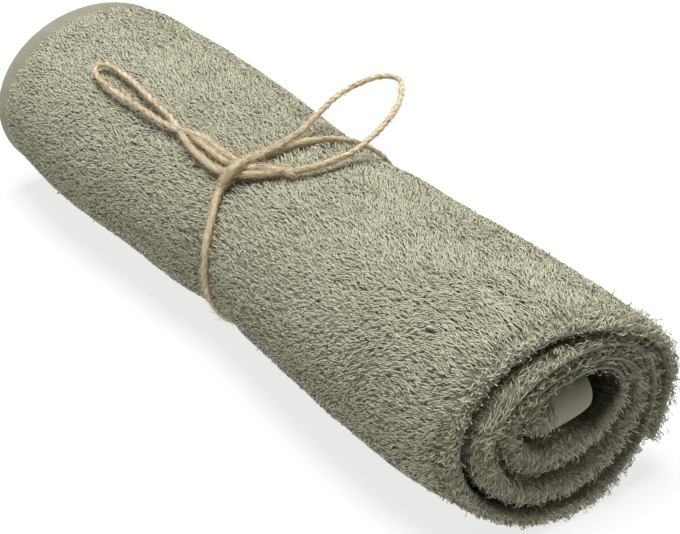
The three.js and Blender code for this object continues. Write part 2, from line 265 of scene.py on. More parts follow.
def smooth_noise(u, v, cell, seed):
    """Smooth seeded noise from -1 to 1 over a plane, with lumps about as wide as cell."""
    table = np.random.default_rng(seed).uniform(-1, 1, (256, 256))
    u, v = np.asarray(u) / cell, np.asarray(v) / cell
    column, row = np.floor(u).astype(int), np.floor(v).astype(int)
    across, along = u - column, v - row
    across, along = across**2 * (3 - 2 * across), along**2 * (3 - 2 * along)

    def corner(i, j):
        return table[(column + i) % 256, (row + j) % 256]

    low = corner(0, 0) * (1 - across) + corner(1, 0) * across
    high = corner(0, 1) * (1 - across) + corner(1, 1) * across
    return low * (1 - along) + high * along


def unit(vectors):
    """The vectors with their lengths made 1."""
    return vectors / np.maximum(np.linalg.norm(vectors, axis=-1, keepdims=True), 1e-9)


def oval(x, angle, outward):
    """The point (y, z) of the roll's outline at one x, at an angle in degrees from +Y towards +Z."""
    radians = np.radians(angle)
    side = SECTION["side"](x) + (SECTION["halfWidth"](x) + outward) * np.cos(radians)
    up = (SECTION["bottom"](x) + FOOT * SECTION["halfHeight"](x)
          + (SECTION["halfHeight"](x) + outward) * np.sin(radians))
    return side, up


def cloth_faces(x, turn):
    """The rolled strip's outer and inner face, as (y, z), at one turn of one section."""
    x, turn = np.broadcast_arrays(np.asarray(x, float), np.asarray(turn, float))
    core_side = SECTION["side"](x) + CORE_SIDE * SECTION["halfWidth"](x)
    core_up = SECTION["bottom"](x) + (FOOT + CORE_UP) * SECTION["halfHeight"](x)
    rim_side, rim_up = oval(x, ZERO_ANGLE + 360 * turn, 0)
    reach = np.hypot(rim_side - core_side, rim_up - core_up)
    half = FREE_SPACE / 2 / reach
    bulge = np.maximum(0, 1 - ((turn - CORE_CLOSED["turn"]) / CORE_CLOSED["within"]) ** 2)
    closed = (1 - SECTION["hollow"](x + HOLLOW_DEEPER * np.sign(x))) * CORE_CLOSED["share"] * bulge
    outer_share = SPIRAL_AT["share"](turn) - np.where(turn > 0.93, half, 0)
    inner_share = SPIRAL_AT["share"](turn + 1) + half - closed

    def at(share):
        return np.stack([core_side + (rim_side - core_side) * share,
                         core_up + (rim_up - core_up) * share], -1)

    innermost = np.stack([core_side + CORE_AT["side"](turn) * SECTION["halfWidth"](x) / 54,
                          core_up + CORE_AT["up"](turn) * SECTION["halfHeight"](x) / 45], -1)
    in_core = np.clip((turn - CORE_FACE[0][0]) * STEPS_IN_CAD, 0, 1)[..., None]
    return at(outer_share), at(inner_share) * (1 - in_core) + innermost * in_core


def drawn_back(x, turn):
    """Where a section goes along X, as the end of the roll that it is near is drawn back there."""
    back = np.where(x > 0, SPIRAL_AT["nearBack"](turn), SPIRAL_AT["farBack"](turn))
    reach = np.maximum(0, (np.abs(x) / NEAR_X - 0.7) / 0.3)
    return x - np.sign(x) * back * reach * reach


def hem_share(x, turn, layer):
    """1 where the cloth is a smooth woven hem with no pile, and 0 where it is terry."""
    far = 1 - soft_step(x, FAR_X + FAR_HEM - 1.5, FAR_X + FAR_HEM + 1)
    far = far * (layer < 0.5)
    hem_end = OUTER_END_TURN + OUTER_HEM_TURNS
    outer_end = 1 - soft_step(turn, hem_end - 0.008, hem_end + 0.004)
    ragged = 0.03 * smooth_noise(x, layer * 12, cell=2.5, seed=71)
    inner_end = soft_step(turn + ragged, INNER_HEM_TURN - 0.03, INNER_HEM_TURN + 0.03)
    return np.maximum(np.maximum(far, outer_end), inner_end)


def hollow_shade_share(turn, layer):
    """1 on the wall beside the hollow at the core, where little light comes and painted shade darkens
    it, and 0 elsewhere.
    """
    beside = soft_step(turn, 2.8, 2.92) * (1 - soft_step(turn, 3.12, 3.26))
    return beside * soft_step(layer, 0.5, 0.85)


def strip_points(x, turn, layer):
    """Points of the cloth in the rolled strip. layer goes from 0, the outermost cloth, to 1."""
    outer, inner = cloth_faces(x, turn)
    across = inner - outer
    thick = np.maximum(np.linalg.norm(across, axis=-1), 1.0)
    hem = hem_share(x, turn, layer)
    cover = np.minimum((PILE_DEPTH * (1 - hem) + HEM_DEPTH * hem) / thick, 0.4)
    depth = cover + layer * (1 - 2 * cover)
    far_full = np.where(x < 0, SECTION["full"](x), 1)
    depth = 0.5 + (depth - 0.5) * far_full
    flat = outer + across * depth[..., None]
    return np.stack([drawn_back(x, turn), flat[..., 0] + TO_MIDDLE, flat[..., 1]], -1)


def new_object(name, points, faces, material, smooth=True, normals=None, **values):
    """An object from points in millimetres and faces of four points each."""
    mesh = bpy.data.meshes.new(name)
    points = np.asarray(points, float)
    faces = np.asarray(faces, int)
    mesh.vertices.add(len(points))
    mesh.vertices.foreach_set("co", (points * MM).ravel())
    mesh.loops.add(faces.size)
    mesh.loops.foreach_set("vertex_index", faces.ravel())
    mesh.polygons.add(len(faces))
    mesh.polygons.foreach_set("loop_start", np.arange(0, faces.size, 4))
    mesh.update(calc_edges=True)
    mesh.validate()
    mesh.polygons.foreach_set("use_smooth", np.full(len(mesh.polygons), smooth))
    for key, value in values.items():
        stored = mesh.attributes.new(key, "FLOAT", "POINT")
        stored.data.foreach_set("value", np.asarray(value, float))
    if normals is not None:
        mesh.normals_split_custom_set_from_vertices(np.asarray(normals, float))
    mesh.materials.append(material)
    made = bpy.data.objects.new(name, mesh)
    bpy.context.scene.collection.objects.link(made)
    return made


# Materials.
def material_nodes(name, roughness, sheen, sheen_tint):
    """A new material, its node tree and its shader."""
    material = bpy.data.materials.new(name)
    material.use_nodes = True
    shader = material.node_tree.nodes["Principled BSDF"]
    shader.inputs["Roughness"].default_value = roughness
    shader.inputs["Specular IOR Level"].default_value = 0.2
    shader.inputs["Sheen Weight"].default_value = sheen
    shader.inputs["Sheen Roughness"].default_value = 0.5
    shader.inputs["Sheen Tint"].default_value = (*sheen_tint, 1)
    return material, material.node_tree, shader


def node(tree, kind, **inputs):
    """A new node with values set on its inputs."""
    made = tree.nodes.new(kind)
    for key, value in inputs.items():
        made.inputs[key].default_value = value
    return made


def math_node(tree, operation, *sources):
    """The result of one operation on one or two values."""
    made = tree.nodes.new("ShaderNodeMath")
    made.operation = operation
    for place, source in enumerate(sources):
        tree.links.new(source, made.inputs[place])
    return made.outputs[0]


def add_bump(tree, shader, height, strength, distance):
    """Makes the surface look rough by a height."""
    bump = node(tree, "ShaderNodeBump", Strength=strength, Distance=distance)
    tree.links.new(height, bump.inputs["Height"])
    tree.links.new(bump.outputs["Normal"], shader.inputs["Normal"])


def attribute(tree, name):
    """A value that is stored with the mesh's points."""
    made = tree.nodes.new("ShaderNodeAttribute")
    made.attribute_name = name
    return made.outputs["Fac"]


def ramp(tree, source, stops):
    """A colour for each value of source, from stops of a value and a colour."""
    made = tree.nodes.new("ShaderNodeValToRGB")
    while len(made.color_ramp.elements) < len(stops):
        made.color_ramp.elements.new(0.5)
    for element, (place, colour) in zip(made.color_ramp.elements, stops):
        element.position = place
        element.color = (*colour, 1)
    tree.links.new(source, made.inputs["Fac"])
    return made.outputs["Color"]


def mixed(tree, kind, share, first, second):
    """Two colours, each a colour or a socket, mixed by a share that is a number or a socket."""
    made = tree.nodes.new("ShaderNodeMix")
    made.data_type = "RGBA"
    made.blend_type = kind
    for place, value in ((0, share), (6, first), (7, second)):
        if isinstance(value, bpy.types.NodeSocket):
            tree.links.new(value, made.inputs[place])
        else:
            made.inputs[place].default_value = (*value, 1) if place else value
    return made.outputs[2]


def object_noise(tree, scale, detail=2.0):
    """Noise that is fixed to the object, from 0 to 1."""
    place = tree.nodes.new("ShaderNodeTexCoord")
    made = node(tree, "ShaderNodeTexNoise", Scale=scale, Detail=detail)
    tree.links.new(place.outputs["Object"], made.inputs["Vector"])
    return made.outputs["Fac"]


def pile_material():
    """Cotton yarn: a tone for each loop, with painted shade that darkens it towards its root."""
    material, tree, shader = material_nodes("terry_pile", roughness=0.95, sheen=0.25,
                                            sheen_tint=COTTON_SHEEN)
    yarn = ramp(tree, attribute(tree, "tone"), ((0, PILE_DARK), (0.5, PILE_MID), (1, PILE_LIGHT)))
    patches = ramp(tree, object_noise(tree, scale=22.0), ((0.3, PILE_PATCH), (0.7, WHITE)))
    yarn = mixed(tree, "MULTIPLY", 1.0, yarn, patches)
    # Painted shade: darkest at the roots of the loops.
    depth = ramp(tree, attribute(tree, "along"),
                 ((0, DEEPEST_SHADE), (ROOT_SHADE_LEVEL, ROOT_SHADE), (0.85, WHITE)))
    tree.links.new(mixed(tree, "MULTIPLY", 1.0, yarn, depth), shader.inputs["Base Color"])
    return material


def cloth_material():
    """Woven cotton: the ground under the pile, and the paler hems."""
    material, tree, shader = material_nodes("terry_cloth", roughness=0.9, sheen=0.2,
                                            sheen_tint=COTTON_SHEEN)
    base = mixed(tree, "MIX", attribute(tree, "hem"), CLOTH_COLOUR, HEM_COLOUR)
    patches = ramp(tree, object_noise(tree, scale=90.0, detail=4.0), ((0.3, CLOTH_PATCH), (0.7, WHITE)))
    base = mixed(tree, "MULTIPLY", 1.0, base, patches)
    # Painted shade on the cloth beside the hollow at the core.
    base = mixed(tree, "MULTIPLY", attribute(tree, "deep_shade"), base, HOLLOW_SHADE)
    tree.links.new(base, shader.inputs["Base Color"])
    # The weave: fine ribs both ways, so the hems read as woven cloth.
    ribs = [math_node(tree, "SINE", attribute(tree, name)) for name in ("weft", "warp")]
    add_bump(tree, shader, math_node(tree, "MULTIPLY", *ribs), strength=0.35, distance=0.0002)
    return material


def twine_material(name):
    """Jute: painted shade makes it dark between the plies, and it is pale on top of them."""
    material, tree, shader = material_nodes(name, roughness=0.85, sheen=0.3, sheen_tint=JUTE_SHEEN)
    ply = ramp(tree, attribute(tree, "tone"), ((0, TWINE_DARK), (0.4, TWINE_MID), (1, TWINE_LIGHT)))
    streaks = ramp(tree, object_noise(tree, scale=240.0, detail=3.0),
                   ((0.3, TWINE_STREAK), (0.65, WHITE)))
    tree.links.new(mixed(tree, "MULTIPLY", 1.0, ply, streaks), shader.inputs["Base Color"])
    add_bump(tree, shader, object_noise(tree, scale=2600.0), strength=0.5, distance=0.0003)
    return material


# The camera.
camera_data = bpy.data.cameras.new("photo_camera")
camera_data.lens = CAMERA_LENS
camera_data.sensor_width = 36
camera_data.clip_end = 50
camera = bpy.data.objects.new("photo_camera", camera_data)
camera.matrix_world = Matrix([
    (CAMERA_RIGHT[k], CAMERA_UP[k], CAMERA_BACK[k], CAMERA_PLACE[k]) for k in range(3)
] + [(0, 0, 0, 1)])
bpy.context.scene.collection.objects.link(camera)
bpy.context.scene.camera = camera
bpy.context.scene.view_settings.view_transform = "Standard"


# The twine: one length from its left end through the knot, round each loop and the roll.
def band_route():
    """The twine's way round the roll, just off the cloth."""
    angle = BAND[0][0] + 360 * np.arange(BAND_STEPS + 1) / BAND_STEPS
    x = BAND_AT["x"](angle)
    side, up = oval(x, angle, TWINE_LIFT + BAND_AT["off"](angle))
    return np.stack([x, side, up], -1)


def between(first, second, t, low, high):
    """first where t is low, second where t is high, and a straight blend between."""
    return (high - t) / (high - low) * first + (t - low) / (high - low) * second


def through(points, spacing):
    """A smooth curve through the points, as points an even distance apart."""
    points = np.asarray(points, float)
    padded = np.vstack([2 * points[0] - points[1], points, 2 * points[-1] - points[-2]])
    pieces = []
    for k in range(len(points) - 1):
        p0, p1, p2, p3 = padded[k:k + 4]
        t0, t1, t2, t3 = np.cumsum([0, *(max(np.linalg.norm(b - a), 1e-3) ** 0.5
                                         for a, b in ((p0, p1), (p1, p2), (p2, p3)))])
        t = np.linspace(t1, t2, CURVE_STEPS, endpoint=False)[:, None]
        a1, a2, a3 = between(p0, p1, t, t0, t1), between(p1, p2, t, t1, t2), between(p2, p3, t, t2, t3)
        b1, b2 = between(a1, a2, t, t0, t2), between(a2, a3, t, t1, t3)
        pieces.append(between(b1, b2, t, t1, t2))
    line = np.vstack([*pieces, points[-1:]])
    gone = np.concatenate([[0], np.cumsum(np.linalg.norm(np.diff(line, axis=0), axis=1))])
    even = np.linspace(0, gone[-1], int(gone[-1] / spacing) + 1)
    return np.stack([np.interp(even, gone, line[:, k]) for k in range(3)], -1)


def carried_frames(line):
    """Directions along the line and two across it that don't twist about it."""
    along = unit(np.gradient(line, axis=0))
    first = np.cross(along[0], (0, 0, 1.0))
    first /= np.linalg.norm(first)
    across = [first]
    for k in range(1, len(line)):
        turned = across[-1] - along[k] * np.dot(across[-1], along[k])
        across.append(turned / np.linalg.norm(turned))
    across = np.array(across)
    return along, across, np.cross(along, across)


twine_line = through(
    np.vstack([LEFT_END[::-1], LEFT_LOOP, band_route()[:-1], KNOT_WRAP[::-1], KNOT_TUCK,
               RIGHT_LOOP, RIGHT_END]) + (0, TO_MIDDLE, 0), TWINE_STEP)
twine_along, twine_across, twine_third = carried_frames(twine_line)
# Towards the knot the twine has opened into loose, pale strands.
from_knot = np.linalg.norm(twine_line - KNOT_MIDDLE - (0, TO_MIDDLE, 0), axis=1)
twine_opened = 1 - soft_step(from_knot, 22, 60)


def make_twine(rng):
    """The twine as a tube with two plies and closed ends."""
    opened = twine_opened[:, None]
    rings = len(twine_line)
    gone = np.arange(rings) * TWINE_STEP
    angle = 2 * np.pi * np.arange(TWINE_SIDES) / TWINE_SIDES
    lay = 2 * np.pi * gone / TWINE_PITCH + 0.9 * smooth_noise(gone, 0, cell=24, seed=5)
    lobes = np.abs(np.cos(angle[None] - lay[:, None]))
    uneven = (1 + 0.1 * smooth_noise(gone, 0, cell=6, seed=6)
              + 0.06 * smooth_noise(gone, 0, cell=2, seed=7))
    frayed = np.clip(np.minimum(gone, gone[-1] - gone) / FRAYED_LENGTH, 0.35, 1)
    depth = 0.3 - 0.16 * opened
    radius = TWINE_DIAMETER / 2 * (1 - depth + depth * lobes**0.8)
    radius = radius * (uneven * frayed * (1 + 0.14 * twine_opened))[:, None]
    # Its fibres run along it as ridges and streaks.
    streak = smooth_noise(7.3 * np.arange(TWINE_SIDES), gone[:, None], cell=4, seed=9)
    radius = radius * (1 + 0.1 * streak) + rng.normal(0, 0.03, radius.shape)
    out = (twine_across[:, None] * np.cos(angle)[None, :, None]
           + twine_third[:, None] * np.sin(angle)[None, :, None])
    points = twine_line[:, None] + out * radius[..., None]
    points[..., 2] = np.maximum(points[..., 2], TWINE_LOWEST)
    # The tone is dark between the plies as painted shade and light on top of them; the opened strands
    # are lighter.
    tone = 0.2 + 0.5 * lobes**1.4 * (1 - 0.6 * opened) + 0.3 * opened
    tone = tone + 0.22 * smooth_noise(gone, 0, cell=9, seed=8)[:, None]
    tone = np.clip(tone + 0.32 * streak + rng.normal(0, 0.07, tone.shape), 0, 1)
    k, j = np.meshgrid(np.arange(rings - 1), np.arange(TWINE_SIDES), indexing="ij")
    after = (j + 1) % TWINE_SIDES
    tube = np.stack([k * TWINE_SIDES + j, k * TWINE_SIDES + after,
                     (k + 1) * TWINE_SIDES + after, (k + 1) * TWINE_SIDES + j], -1).reshape(-1, 4)
    cap = np.array([(0, k, k + 1, k + 2) for k in range(1, TWINE_SIDES - 2, 2)])
    faces = np.vstack([tube, cap[:, ::-1], cap + (rings - 1) * TWINE_SIDES])
    return new_object("twine", points.reshape(-1, 3), faces, twine_material("jute_twine"),
                      tone=tone.ravel())


def make_fibres(rng):
    """Fibres: most lie along the twine and blur its edge, and some stand off it."""
    rings = len(twine_line)
    chance = 1 + 2.2 * twine_opened
    shares = (0, 0.35, 0.7, 1.0)
    corners = 2 * len(shares)
    ribbons = []
    for count, low, high, lift, stray in FIBRES:
        start = rng.choice(rings, count, p=chance / np.sum(chance))
        reach = rng.uniform(low, high, count) / TWINE_STEP * rng.choice((-1, 1), count)
        spin = rng.uniform(0, 2 * np.pi, count)
        turn_by = rng.normal(0, 1.0, count)
        rise = np.abs(rng.normal(0, lift, count)) * (1 + 0.5 * twine_opened[start])
        shift = rng.normal(0, stray, (count, 3))
        ribbon = []
        for share in shares:
            at = np.clip(start + reach * share, 0, rings - 1).astype(int)
            around = spin + turn_by * share
            outward = (twine_across[at] * np.cos(around)[:, None]
                       + twine_third[at] * np.sin(around)[:, None])
            away = 1.0 + 0.15 * twine_opened[at] + rise * share
            centre = twine_line[at] + outward * away[:, None] + shift * share
            wide = np.cross(twine_along[at], outward) * FIBRE_HALF_WIDTH
            ribbon += [centre - wide, centre + wide]
        ribbons.append(np.stack(ribbon, 1))
    points = np.concatenate(ribbons)
    points[..., 2] = np.maximum(points[..., 2], FIBRE_LOWEST)
    base = np.arange(len(points))[:, None] * corners
    quads = [base + np.array((0, 1, 3, 2)) + 2 * k for k in range(len(shares) - 1)]
    tone = np.repeat(rng.uniform(0.55, 1, len(points)), corners)
    return new_object("twine_fibres", points.reshape(-1, 3), np.concatenate(quads, 1).reshape(-1, 4),
                      twine_material("jute_fibre"), tone=tone)


twine_draws = np.random.default_rng(11)
twine = make_twine(twine_draws)
twine_fibres = make_fibres(twine_draws)
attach(twine, "root")
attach(twine_fibres, "root")
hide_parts("twine_tie")


# The towel: one cloth, laid in four, which goes back and forth through the rolled strip's thickness.
def arc(centre, reach, low, high, count, way):
    """A fold: the x and layer of points round it, from layer low to layer high. way is +1 or -1."""
    angle = np.linspace(-np.pi / 2, np.pi / 2, count + 2)[1:-1]
    share = (np.sin(angle) + 1) / 2
    return centre + way * reach * np.cos(angle), low + (high - low) * share


def cloth_path():
    """The x and layer of points along the cloth's cut across the strip, from edge to edge."""
    far_fold = FAR_EDGE + FAR_FOLD_BACK
    middle_fold = FOLD_START - MIDDLE_FOLD_BACK
    edge_turn = np.linspace(0, np.pi / 2, 5)[:-1]
    parts = [
        (FAR_EDGE + FAR_ROUNDING * (1 - np.cos(edge_turn)), 0.0),
        (np.linspace(FAR_EDGE + FAR_ROUNDING, FOLD_START, 44), 0.0),
        arc(FOLD_START, FOLD_REACH, low=0, high=1, count=12, way=1),
        (np.linspace(FOLD_START, far_fold, 26), 1.0),
        arc(far_fold, 3.0, low=1, high=2 / 3, count=4, way=-1),
        (np.linspace(far_fold, middle_fold, 10), 2 / 3),
        arc(middle_fold, 2.5, low=2 / 3, high=1 / 3, count=3, way=1),
        (np.linspace(middle_fold, FAR_EDGE, 12), 1 / 3),
    ]
    x = np.concatenate([part[0] for part in parts])
    layer = np.concatenate([np.broadcast_to(part[1], part[0].shape) for part in parts])
    return x, layer


def cloth_grid():
    """The cloth's middle surface: x, turn, layer, point and outward direction of a grid on it."""
    x, layer = cloth_path()
    turn = np.concatenate([[OUTER_END_TURN + 0.004],
                           np.arange(OUTER_END_TURN + 0.0125, TURNS - 0.01, 1 / CLOTH_STEPS),
                           [TURNS - 0.006]])
    x, turn = np.meshgrid(x, turn, indexing="ij")
    layer = np.broadcast_to(layer[:, None], x.shape)
    # Where the outermost cloth is drawn back its fold is sharper than elsewhere.
    sharp = 0.45 * soft_step(turn, 0.22, 0.32) * (1 - soft_step(turn, 0.6, 0.75))
    x = np.where(x > FOLD_START, FOLD_START + (x - FOLD_START) * (1 - sharp), x)
    points = strip_points(x, turn, layer)
    outside = unit(np.cross(np.gradient(points, axis=0), np.gradient(points, axis=1)))
    # One point of the outermost cloth tells which side is the outside.
    sample = (8, 10)
    outer, inner = cloth_faces(x[sample], turn[sample])
    if np.dot(outside[sample][1:], outer - inner) < 0:
        outside = -outside
    # The rolled cloth is soft, so its outer face has low swells.
    around = turn * OUTER_ROUND
    swell = (0.7 * smooth_noise(x, around, cell=34, seed=21)
             + 0.35 * smooth_noise(x, around, cell=13, seed=22))
    calm = soft_step(np.abs(x - 3), 6, 30) * (1 - hem_share(x, turn, layer))
    points = points + outside * (swell * calm * (layer < 0.3))[..., None]
    return x, turn, layer, points, outside


path_x, path_turn, path_layer, cloth_points, cloth_outside = cloth_grid()


def make_cloth():
    """The cloth as one closed sheet: two sides and the wall round its edge."""
    rows, columns = path_x.shape
    hem = hem_share(path_x, path_turn, path_layer)
    edge = np.zeros(path_x.shape)
    edge[0] = edge[-1] = 1
    edge[:, 0] = edge[:, -1] = 1
    thick = (CLOTH_THICK * (1 - hem) + HEM_THICK * hem) * (1 - 0.35 * edge)
    front = cloth_points + cloth_outside * (thick / 2)[..., None]
    back = cloth_points - cloth_outside * (thick / 2)[..., None]
    count = rows * columns
    i, j = np.meshgrid(np.arange(rows - 1), np.arange(columns - 1), indexing="ij")
    quad = np.stack([i * columns + j, (i + 1) * columns + j,
                     (i + 1) * columns + j + 1, i * columns + j + 1], -1).reshape(-1, 4)
    rim = np.concatenate([
        np.arange(columns - 1), (np.arange(rows - 1) + 1) * columns - 1,
        (rows - 1) * columns + np.arange(columns - 1, 0, -1), np.arange(rows - 1, 0, -1) * columns,
    ])
    after = np.roll(rim, -1)
    wall = np.stack([rim, after, after + count, rim + count], -1)
    faces = np.vstack([quad, quad[:, ::-1] + count, wall])
    points = np.vstack([front.reshape(-1, 3), back.reshape(-1, 3)])
    points[:, 2] = np.maximum(points[:, 2], CLOTH_LOWEST)
    values = {
        "hem": hem,
        "deep_shade": hollow_shade_share(path_turn, path_layer) * (1 - hem),
        "weft": path_x * 2 * np.pi / RIB_PITCH,
        "warp": path_turn * MIDDLE_ROUND * 2 * np.pi / RIB_PITCH,
    }
    return new_object("towel", points, faces, cloth_material(),
                      **{key: np.tile(value.ravel(), 2) for key, value in values.items()})


towel = make_cloth()
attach(towel, "root")
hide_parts("towel_roll")


# The pile.
def scatter(density, seed):
    """Seeded places on the cloth: point, normal, two directions, x, turn and layer of each."""
    rng = np.random.default_rng(seed)
    a, b = cloth_points[:-1, :-1], cloth_points[1:, :-1]
    c, d = cloth_points[:-1, 1:], cloth_points[1:, 1:]
    area = (np.linalg.norm(np.cross(b - a, c - a), axis=-1)
            + np.linalg.norm(np.cross(b - d, c - d), axis=-1)) / 2
    count = rng.poisson(area * density)
    i, j = np.nonzero(count)
    times = count[i, j]
    i, j = np.repeat(i, times), np.repeat(j, times)
    u, v = rng.random((len(i), 1)), rng.random((len(i), 1))

    def blend(grid):
        flat = grid if grid.ndim == 3 else grid[..., None]
        return (flat[i, j] * (1 - u) * (1 - v) + flat[i + 1, j] * u * (1 - v)
                + flat[i, j + 1] * (1 - u) * v + flat[i + 1, j + 1] * u * v)

    normal = unit(blend(cloth_outside))
    forward = blend(np.gradient(cloth_points, axis=1))
    forward = unit(forward - normal * np.sum(forward * normal, -1, keepdims=True))
    return {
        "rng": rng, "point": blend(cloth_points), "normal": normal, "round": forward,
        "axial": unit(np.cross(forward, normal)), "x": blend(path_x)[:, 0],
        "turn": blend(path_turn)[:, 0], "layer": blend(path_layer)[:, 0],
    }


def laid(at, heading):
    """The direction in the surface at an angle in radians from the roll's axis."""
    sign = np.where(at["axial"][:, :1] < 0, -1.0, 1.0)
    axial = at["axial"] * sign
    aside = np.cross(at["normal"], axial)
    aside = aside * np.where(np.sum(aside * at["round"], -1, keepdims=True) < 0, -1.0, 1.0)
    return axial * np.cos(heading)[:, None] + aside * np.sin(heading)[:, None]


def turned(at, lean, angle):
    """A direction in the surface turned by angles in radians."""
    return lean * np.cos(angle)[:, None] + np.cross(at["normal"], lean) * np.sin(angle)[:, None]


def to_tufts(points):
    """From each point to the middle of the tuft that it belongs to."""
    key = np.floor((points + 500) / TUFT_WIDTH).astype(np.int64)
    _, group, size = np.unique(key @ (1, 4096, 4096 * 4096), return_inverse=True, return_counts=True)
    middle = np.stack([np.bincount(group, points[:, k]) / size for k in range(3)], -1)
    return middle[group] - points


def loops(name, at, lean, length, height, width, bend, parts=1, gather=0.0, shade=0.0, spin=0.4,
          dim=0.0):
    """Ribbons at the places, laid over along lean.

    gather draws their tips together into tufts, spin is how much they twist, shade takes yarn
    towards its darkest tone as painted shade (below 0, lighter as a painted highlight), and dim takes
    it towards the deepest painted shade.
    """
    rng, count = at["rng"], len(at["x"])
    beside = np.cross(at["normal"], lean)
    roll = rng.normal(0, spin, count)[:, None]
    wide = beside * np.cos(roll) + at["normal"] * np.sin(roll)
    facing = at["normal"] * np.cos(roll) - beside * np.sin(roll)
    bow = rng.normal(0, 0.3, count)[:, None]
    tone = np.clip(rng.normal(0.5, 0.2, count) - shade, 0, 1)
    tuft = to_tufts(at["point"]) * gather
    last = len(bend) - 1
    # Each row of a ribbon carries a level of painted shade, darkest at its root.
    points, normals, shade_levels = [], [], []
    for k, (share, rise) in enumerate(bend):
        centre = (at["point"] + lean * (length * (share - 0.3))[:, None]
                  + at["normal"] * (height * rise)[:, None]
                  + beside * bow * math.sin(math.pi * share) + tuft * share**1.5)
        half = wide * (width * (0.32 if k in (0, last) else 0.5))[:, None]
        slope = bend[min(k + 1, last)][1] - bend[max(k - 1, 0)][1]
        tilt = facing - lean * (0.5 * slope)
        for side in (-1, 1):
            points.append(centre + half * side)
            normals.append(unit(unit(tilt) + wide * 0.75 * side))
            shade_levels.append(np.full(count, ROOT_SHADE_LEVEL + 0.7 * max(0.0, rise)) * (1 - dim))
    points, normals, shade_levels = np.stack(points, 1), np.stack(normals, 1), np.stack(shade_levels, 1)
    points[..., 2] = np.maximum(points[..., 2], PILE_LOWEST)
    corners = 2 * len(bend)
    ribbon = np.concatenate([np.array((0, 2, 3, 1)) + 2 * k for k in range(last)])
    for part in range(parts):
        these = np.arange(part, count, parts)
        faces = (np.arange(len(these))[:, None] * corners + ribbon).reshape(-1, 4)
        piece = new_object(
            name if parts == 1 else f"{name}_{part + 1}", points[these].reshape(-1, 3), faces,
            terry_pile, normals=normals[these].reshape(-1, 3),
            tone=np.repeat(tone[these], corners), along=shade_levels[these].ravel())
        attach(piece, "root")


def angle_of(turn):
    """The angle of a turn in degrees round the roll, from +Y towards +Z."""
    return (ZERO_ANGLE + 360 * turn) % 360


def lying(at, seed):
    """The way the pile lies, which swirls and differs from one part of the roll to another."""
    around, facing = at["turn"] * OUTER_ROUND, angle_of(at["turn"])
    right = soft_step(at["x"], 0, 35)
    near = soft_step(at["x"], 95, 125)
    side = soft_step(facing, 95, 125) * (1 - soft_step(facing, 190, 215))
    base = -0.2 * (1 - right) + right * (0.14 - 0.2 * side - 0.36 * near * side)
    swirl = (0.5 * smooth_noise(at["x"], around, cell=17, seed=seed)
             + 0.4 * smooth_noise(at["x"], around, cell=6, seed=seed + 1))
    swirl = base + swirl + at["rng"].normal(0, 0.26, len(at["x"]))
    back = np.where(at["rng"].random(len(at["x"])) < 0.22, np.pi, 0)
    return laid(at, swirl + back)


def beside_band(at):
    """A factor for the pile's height, low under the twine and high on both sides of it."""
    first, last = BAND[0][0], BAND[-1][0]
    angle = (angle_of(at["turn"]) - first) % 360 + first
    away = np.abs(at["x"] - BAND_AT["x"](np.clip(angle, first, last)))
    under = 1 - soft_step(away, 0.8, 1.6)
    next_to = soft_step(away, 1.2, 2.0) * (1 - soft_step(away, 3.5, 6.5))
    return 1 - 0.6 * under + 0.75 * next_to


terry_pile = pile_material()
cell_x, cell_turn, cell_layer = (grid[:-1, :-1] for grid in (path_x, path_turn, path_layer))
cell_bare = hem_share(cell_x, cell_turn, cell_layer)
patchy = 0.88 + 0.2 * smooth_noise(cell_x, cell_turn * OUTER_ROUND, cell=9, seed=31)
# At the folded end, only the cloth up to a little way past its fold can be seen.
in_view = np.zeros(cell_x.shape, bool)
in_view[:np.argmax(path_layer[:, 0] >= 0.999) + 8] = True


def body_pile(name, cells, rate, wide, seed, parts):
    """The pile on the outside of the roll, on some of the cloth's cells."""
    on_body = (cell_layer < OUTERMOST) & (cell_x < NEAR_X - 20) & (cell_turn < 0.99)
    at = scatter(rate * patchy * (1 - cell_bare) * (on_body & cells), seed)
    rng, count = at["rng"], len(at["x"])
    clump = smooth_noise(at["x"], at["turn"] * OUTER_ROUND, cell=3.2, seed=43)
    height = rng.uniform(1.3, 2.1, count) * (1 + 0.12 * clump) * beside_band(at)
    length = rng.uniform(1.6, 3.8, count) * (1 + 0.45 * soft_step(at["x"], 105, 150))
    width = wide * rng.uniform(0.75, 1.2, count) * (1.15 - 0.15 * soft_step(at["x"], -90, -30))
    height = height * (0.85 + 0.15 * soft_step(at["x"], -90, -30))
    # The loops beside the far hem are small.
    by_hem = soft_step(at["x"], FAR_X + FAR_HEM - 1, FAR_X + FAR_HEM + 12)
    height, length = height * (0.4 + 0.6 * by_hem), length * (0.6 + 0.4 * by_hem)
    # Towards the far end the painted shade at the roots is lighter, which softens the pile as the
    # photograph does.
    lighter_root_shade = -0.8 * (1 - soft_step(at["x"], -90, -10))
    loops(name, at, lying(at, seed=51), length, height, width, BODY_BEND, parts, dim=lighter_root_shade)


def folded_end_density():
    """Loops for each square millimetre round every turn of the fold and just behind it."""
    x, turn, layer = cell_x, cell_turn, cell_layer
    inner = turn > SECOND_TURN
    folded = np.where(layer < OUTERMOST, x >= NEAR_X - np.where(inner, 32, 20), x > NEAR_X - 24)
    covered = NEAR_X - 13 - 1.1 * SPIRAL_AT["nearBack"](turn - 1)
    core_wall = (turn > 2.85) & (layer > INNERMOST)
    hidden = (inner & (layer < OUTERMOST) & (x < covered)
              | (layer > INNERMOST) & (x < NEAR_X - 17) & ~core_wall)
    rate = np.where(core_wall & (x < NEAR_X - 12), 0.7, 1.15)
    hem_corner = (turn < 0.05) & (x > NEAR_X - 13)
    bare = cell_bare * np.where(hem_corner, 0.3, 1)
    return rate * patchy * (1 - bare) * (folded & in_view & ~hidden)


